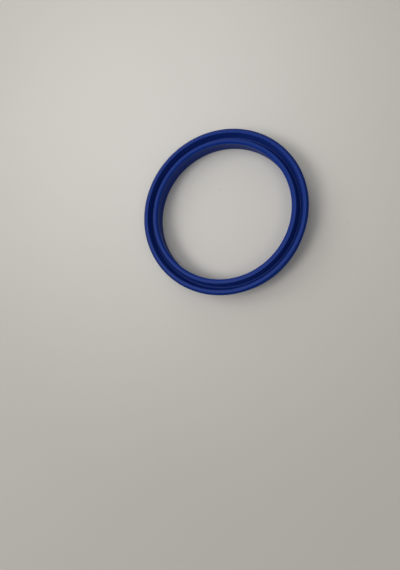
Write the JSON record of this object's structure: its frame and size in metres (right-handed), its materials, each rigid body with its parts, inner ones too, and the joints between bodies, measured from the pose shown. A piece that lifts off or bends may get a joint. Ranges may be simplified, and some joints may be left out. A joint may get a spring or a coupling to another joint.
{
  "type": "u cup seal",
  "caption": "Moulded polyurethane U-cup seal ring: a solid heel with flared, bevelled lips on either side of a narrow V groove, for sealing a rod or a piston.",
  "frame": {"origin": "on the ring's axis, in the plane of the heel's flat face, where the ring rests when it lies down", "axes": "+Z along the ring's axis from the heel to the lips; X and Y are any two radii, since the ring is turned about Z"},
  "size_m": [0.1022, 0.1022, 0.012],
  "materials": {
    "blue_polyurethane": "satin"
  },
  "bodies": {
    "root": {"seal_ring": "blue_polyurethane"}
  },
  "joints": []
}
